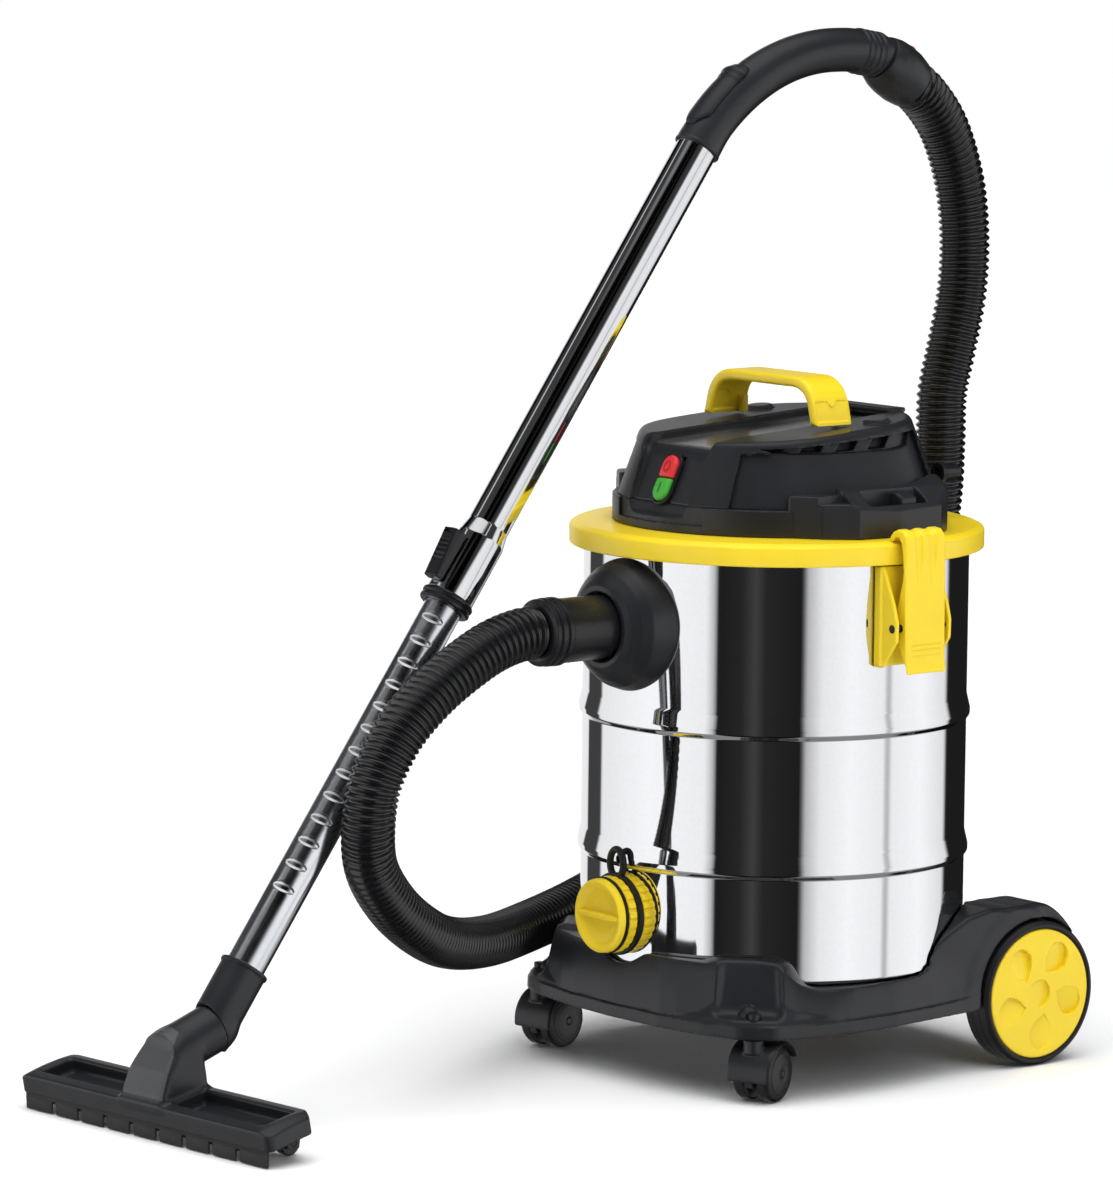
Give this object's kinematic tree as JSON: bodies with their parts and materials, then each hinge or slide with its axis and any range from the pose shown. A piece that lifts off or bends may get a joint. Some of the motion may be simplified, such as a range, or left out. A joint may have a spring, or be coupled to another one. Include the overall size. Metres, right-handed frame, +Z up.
{
  "type": "shop vacuum",
  "caption": "Wheeled drum vacuum: steel tank with clipped motor head, front hose inlet and drain, hose, bent grip, telescopic wand and floor nozzle.",
  "frame": {"origin": "centre of the footprint on the floor, measured without the hose", "axes": "+Z up, -Y the front with the switch, hose inlet and drain, +X the machine's side with the latch next to the drain side's right"},
  "size_m": [0.4276, 0.9207, 0.883],
  "materials": {
    "black_plastic": "satin, fine grain",
    "yellow_plastic": "satin gloss",
    "stainless_steel": "mirror polished",
    "hose_plastic": "satin corrugated",
    "black_rubber": "matt",
    "black_wheel": "matt",
    "red_button": "satin",
    "green_button": "satin",
    "zinc_steel": "plated",
    "motor_metal": "cast and turned",
    "filter_paper": "pleated paper",
    "float_plastic": "plain"
  },
  "bodies": {
    "machine": {"dolly_base": "black_plastic", "rear_axle": "zinc_steel", "tank": "stainless_steel", "inlet_flange": "black_plastic", "inlet_deflector": "black_plastic", "hose_cuff_inlet": "black_plastic", "hose": "hose_plastic", "drain_spout": "yellow_plastic", "drain_strap": "black_rubber", "latch_bracket_right": "yellow_plastic", "latch_bracket_left": "yellow_plastic", "latch_pin_right": "black_plastic", "latch_pin_left": "black_plastic", "hose_cuff_grip": "black_plastic", "lid_ring": "yellow_plastic", "motor_housing": "black_plastic", "top_cover": "black_plastic", "carry_handle": "yellow_plastic", "switch_bezel": "black_plastic", "vacuum_motor": "motor_metal", "lid_gasket": "black_rubber", "filter_cage": "black_plastic", "filter_sleeve": "filter_paper", "cable_gland": "black_plastic", "head_screw_front_left": "zinc_steel", "head_screw_front_right": "zinc_steel", "head_screw_rear_left": "zinc_steel", "head_screw_rear_right": "zinc_steel"},
    "off_button": {"button_off": "red_button"},
    "on_button": {"button_on": "green_button"},
    "fan": {"impeller": "motor_metal"},
    "float": {"float_ball": "float_plastic"},
    "right_latch": {"latch_lever_right": "yellow_plastic"},
    "left_latch": {"latch_lever_left": "yellow_plastic"},
    "drain_seal": {"drain_cap_seal": "black_rubber"},
    "drain_cap": {"drain_cap": "yellow_plastic"},
    "grip": {"grip_handle": "black_plastic", "wand_upper_tube": "stainless_steel", "wand_end_ring": "black_plastic"},
    "wand_lower": {"wand_lower_tube": "stainless_steel", "nozzle_elbow": "black_plastic"},
    "wand_slider": {"wand_release_slider": "black_plastic"},
    "air_slider": {"air_slider": "black_plastic"},
    "cuff_button": {"hose_release_button": "red_button"},
    "nozzle": {"nozzle_body": "black_plastic", "nozzle_strip": "black_rubber"},
    "left_caster": {"caster_fork_left": "black_plastic"},
    "left_caster_inner_wheel": {"caster_wheel_left_inner": "black_wheel"},
    "left_caster_outer_wheel": {"caster_wheel_left_outer": "black_wheel"},
    "right_caster": {"caster_fork_right": "black_plastic"},
    "right_caster_inner_wheel": {"caster_wheel_right_inner": "black_wheel"},
    "right_caster_outer_wheel": {"caster_wheel_right_outer": "black_wheel"},
    "right_rear_wheel": {"rear_tyre_right": "black_rubber", "rear_hub_right": "yellow_plastic"},
    "left_rear_wheel": {"rear_tyre_left": "black_rubber", "rear_hub_left": "yellow_plastic"},
    "nozzle_left_wheel": {"nozzle_wheel_left": "black_wheel"},
    "nozzle_right_wheel": {"nozzle_wheel_right": "black_wheel"}
  },
  "joints": [
    {"name": "off_button_press", "type": "slide", "parent": "machine", "child": "off_button", "axis": [0, 0.8988, -0.4384], "range_m": [0, 0.003], "stiffness_N_per_m": 400},
    {"name": "on_button_press", "type": "slide", "parent": "machine", "child": "on_button", "axis": [0, 0.8988, -0.4384], "range_m": [0, 0.003], "stiffness_N_per_m": 400},
    {"name": "fan_spin", "type": "hinge", "parent": "machine", "child": "fan", "pos_m": [0.0042, 0.20594, 0.44], "axis": [0, 0, 1], "continuous": true},
    {"name": "float_lift", "type": "slide", "parent": "machine", "child": "float", "axis": [0, 0, 1], "range_m": [0, 0.048]},
    {"name": "right_latch_open", "type": "hinge", "parent": "machine", "child": "right_latch", "pos_m": [0.1888, 0.20594, 0.395], "axis": [0, 1, 0], "range_deg": [0, 18], "stiffness_Nm_per_rad": 1.5},
    {"name": "left_latch_open", "type": "hinge", "parent": "machine", "child": "left_latch", "pos_m": [-0.1804, 0.20594, 0.395], "axis": [0, -1, 0], "range_deg": [0, 18], "stiffness_Nm_per_rad": 1.5},
    {"name": "drain_cap_out", "type": "slide", "parent": "machine", "child": "drain_seal", "axis": [0, -1, 0], "range_m": [0, 0.006]},
    {"name": "drain_cap_turn", "type": "hinge", "parent": "drain_seal", "child": "drain_cap", "pos_m": [0.0042, 0.02194, 0.143], "axis": [0, -1, 0], "range_deg": [0, 360]},
    {"name": "left_caster_swivel", "type": "hinge", "parent": "machine", "child": "left_caster", "pos_m": [-0.1388, 0.06594, 0.06], "axis": [0, 0, 1], "continuous": true},
    {"name": "left_caster_inner_roll", "type": "hinge", "parent": "left_caster", "child": "left_caster_inner_wheel", "pos_m": [-0.14186, 0.08164, 0.024], "axis": [0.9816, 0.1908, 0], "continuous": true},
    {"name": "left_caster_outer_roll", "type": "hinge", "parent": "left_caster", "child": "left_caster_outer_wheel", "pos_m": [-0.14186, 0.08164, 0.024], "axis": [0.9816, 0.1908, 0], "continuous": true},
    {"name": "right_caster_swivel", "type": "hinge", "parent": "machine", "child": "right_caster", "pos_m": [0.1472, 0.06594, 0.06], "axis": [0, 0, 1], "continuous": true},
    {"name": "right_caster_inner_roll", "type": "hinge", "parent": "right_caster", "child": "right_caster_inner_wheel", "pos_m": [0.1412, 0.08077, 0.024], "axis": [0.9272, 0.3746, 0], "continuous": true},
    {"name": "right_caster_outer_roll", "type": "hinge", "parent": "right_caster", "child": "right_caster_outer_wheel", "pos_m": [0.1412, 0.08077, 0.024], "axis": [0.9272, 0.3746, 0], "continuous": true},
    {"name": "right_rear_wheel_roll", "type": "hinge", "parent": "machine", "child": "right_rear_wheel", "pos_m": [0.1572, 0.36794, 0.0625], "axis": [1, 0, 0], "continuous": true},
    {"name": "left_rear_wheel_roll", "type": "hinge", "parent": "machine", "child": "left_rear_wheel", "pos_m": [-0.1488, 0.36794, 0.0625], "axis": [1, 0, 0], "continuous": true},
    {"name": "grip_swivel", "type": "hinge", "parent": "machine", "child": "grip", "pos_m": [-0.0428, 0.35654, 0.8569], "axis": [0, 0.845, -0.5348], "range_deg": [0, 60]},
    {"name": "wand_telescope", "type": "slide", "parent": "grip", "child": "wand_lower", "axis": [0, 0.5834, 0.8122], "range_m": [0, 0.19]},
    {"name": "wand_slider_press", "type": "slide", "parent": "grip", "child": "wand_slider", "axis": [0, 0.5834, 0.8122], "range_m": [0, 0.006], "stiffness_N_per_m": 500},
    {"name": "air_slider_move", "type": "hinge", "parent": "grip", "child": "air_slider", "pos_m": [-0.0428, 0.30624, 0.6748], "axis": [-1, 0, 0], "range_deg": [0, 6]},
    {"name": "cuff_button_press", "type": "slide", "parent": "machine", "child": "cuff_button", "axis": [0, -0.5348, -0.845], "range_m": [0, 0.002], "stiffness_N_per_m": 400},
    {"name": "nozzle_turn", "type": "hinge", "parent": "wand_lower", "child": "nozzle", "pos_m": [-0.0428, -0.35246, 0.0818], "axis": [0, 0.9371, 0.349], "continuous": true},
    {"name": "nozzle_left_wheel_roll", "type": "hinge", "parent": "nozzle", "child": "nozzle_left_wheel", "pos_m": [-0.16917, -0.38516, 0.011], "axis": [0.9968, 0.0802, 0], "continuous": true},
    {"name": "nozzle_right_wheel_roll", "type": "hinge", "parent": "nozzle", "child": "nozzle_right_wheel", "pos_m": [0.08003, -0.36511, 0.011], "axis": [0.9968, 0.0802, 0], "continuous": true}
  ],
  "couplings": [
    {"joint": "drain_cap_out", "follows": "drain_cap_turn", "m_per_rad": 0.00079577}
  ]
}
